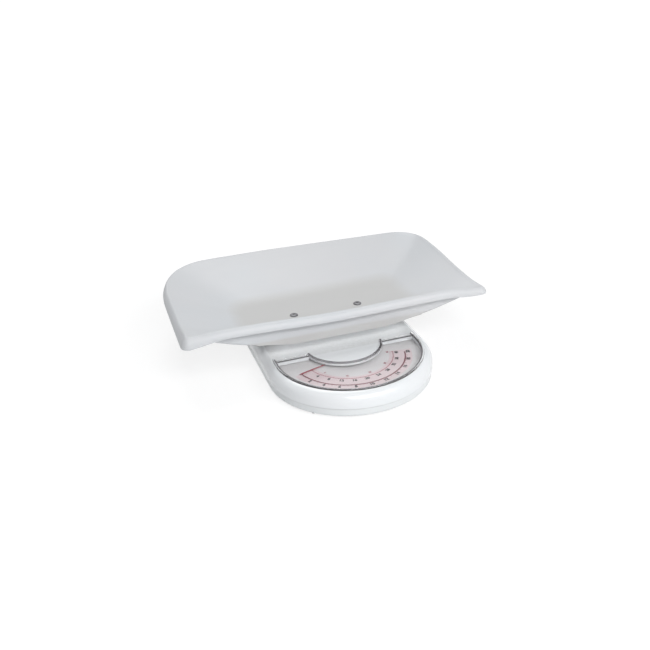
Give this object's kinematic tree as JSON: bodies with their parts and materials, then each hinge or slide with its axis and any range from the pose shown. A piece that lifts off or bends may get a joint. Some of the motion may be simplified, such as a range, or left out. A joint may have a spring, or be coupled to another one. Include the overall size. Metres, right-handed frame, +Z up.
{
  "type": "baby weighing scale",
  "caption": "Mechanical baby weighing scale: a long moulded tray on knife-edge levers over a D-shaped base with a half-round dial window, pointer and zero knob.",
  "frame": {"origin": "on the table, under the middle of the whole scale's bounding box; the line of the two tray screws is 11.2 mm behind it", "axes": "+X along the tray to the right as seen from the dial, +Y from the dial to the back, +Z up"},
  "size_m": [0.55, 0.4924, 0.1168],
  "materials": {
    "tray_white": "semi-matte moulded plastic, slightly bluish white",
    "housing_white": "glossy moulded plastic, white",
    "lens_clear": "clear moulded plastic",
    "dial_print": "matt printed sheet",
    "pointer_red": "matt paint",
    "zinc_screw": "zinc plated",
    "sheet_steel": "galvanised",
    "hard_steel": "ground",
    "spring_steel": "bright wire",
    "gear_brass": "machined",
    "foot_rubber": "matt",
    "knob_white": "fine matt moulded plastic"
  },
  "bodies": {
    "base": {"base_pan": "housing_white", "top_cover": "housing_white", "window_lens": "lens_clear", "dial_plate": "dial_print", "cover_screws": "zinc_screw", "bracket_screws": "zinc_screw", "dial_screws": "zinc_screw", "foot_rear_right": "foot_rubber", "foot_rear_left": "foot_rubber", "foot_front_right": "foot_rubber", "foot_front_left": "foot_rubber", "rear_post_right": "sheet_steel", "rear_post_left": "sheet_steel", "front_post_right": "sheet_steel", "front_post_left": "sheet_steel", "movement_bracket": "sheet_steel", "crank_pin": "hard_steel", "spindle_bridge": "sheet_steel", "zero_bracket": "sheet_steel", "main_spring": "spring_steel", "rack_spring": "spring_steel"},
    "weighing_tray": {"tray": "tray_white", "tray_screw_right": "zinc_screw", "tray_screw_left": "zinc_screw", "tray_washers": "zinc_screw", "tray_nuts": "zinc_screw", "tray_carrier": "sheet_steel", "carrier_leg_rear_right": "sheet_steel", "carrier_leg_rear_left": "sheet_steel", "carrier_leg_front_right": "sheet_steel", "carrier_leg_front_left": "sheet_steel"},
    "long_lever_set": {"long_lever": "sheet_steel", "rear_knife_rod": "hard_steel"},
    "short_lever_right_set": {"short_lever_right": "sheet_steel", "front_knife_rod_right": "hard_steel"},
    "short_lever_left_set": {"short_lever_left": "sheet_steel", "front_knife_rod_left": "hard_steel"},
    "crank": {"bell_crank": "sheet_steel"},
    "rack_bar": {"rack": "gear_brass"},
    "pointer_set": {"pointer": "pointer_red", "spindle": "hard_steel", "pinion": "gear_brass"},
    "zero_screw_set": {"zero_screw": "zinc_screw", "zero_knob": "knob_white"},
    "zero_block": {"spring_block": "sheet_steel"}
  },
  "joints": [
    {"name": "tray_press", "type": "slide", "parent": "base", "child": "weighing_tray", "axis": [0, 0, -1], "range_m": [0, 0.00161], "stiffness_N_per_m": 122020, "springref_m": -0.00018},
    {"name": "long_lever_tilt", "type": "hinge", "parent": "base", "child": "long_lever_set", "pos_m": [0, 0.1172, 0.022], "axis": [1, 0, 0], "range_deg": [0, 2.31]},
    {"name": "short_lever_right_tilt", "type": "hinge", "parent": "base", "child": "short_lever_right_set", "pos_m": [0.108, -0.0638, 0.022], "axis": [-1, 0, 0], "range_deg": [0, 2.31]},
    {"name": "short_lever_left_tilt", "type": "hinge", "parent": "base", "child": "short_lever_left_set", "pos_m": [-0.108, -0.0638, 0.022], "axis": [-1, 0, 0], "range_deg": [0, 2.31]},
    {"name": "crank_turn", "type": "hinge", "parent": "base", "child": "crank", "pos_m": [0, -0.0602, 0.0112], "axis": [1, 0, 0], "range_deg": [0, 26.3], "deforming": ["main_spring"]},
    {"name": "rack_push", "type": "slide", "parent": "base", "child": "rack_bar", "axis": [0, -1, 0], "range_m": [0, 0.00781], "deforming": ["rack_spring"]},
    {"name": "pointer_turn", "type": "hinge", "parent": "base", "child": "pointer_set", "pos_m": [0, -0.1048, 0.03], "axis": [0, 0, 1], "range_deg": [0, 148.96]},
    {"name": "zero_turn", "type": "hinge", "parent": "base", "child": "zero_screw_set", "pos_m": [0.008, 0.1412, 0.02776], "axis": [0, 1, 0], "range_deg": [-360, 360]},
    {"name": "zero_block_slide", "type": "slide", "parent": "base", "child": "zero_block", "axis": [0, 1, 0], "range_m": [-0.00071, 0.00071]}
  ],
  "couplings": [
    {"joint": "long_lever_tilt", "follows": "tray_press", "rad_per_m": 25},
    {"joint": "short_lever_right_tilt", "follows": "tray_press", "rad_per_m": 25},
    {"joint": "short_lever_left_tilt", "follows": "tray_press", "rad_per_m": 25},
    {"joint": "crank_turn", "follows": "tray_press", "rad_per_m": 285.3},
    {"joint": "rack_push", "follows": "tray_press", "ratio": 4.85},
    {"joint": "pointer_turn", "follows": "tray_press", "rad_per_m": 1616.7},
    {"joint": "zero_block_slide", "follows": "zero_turn", "m_per_rad": 0.00011141}
  ]
}
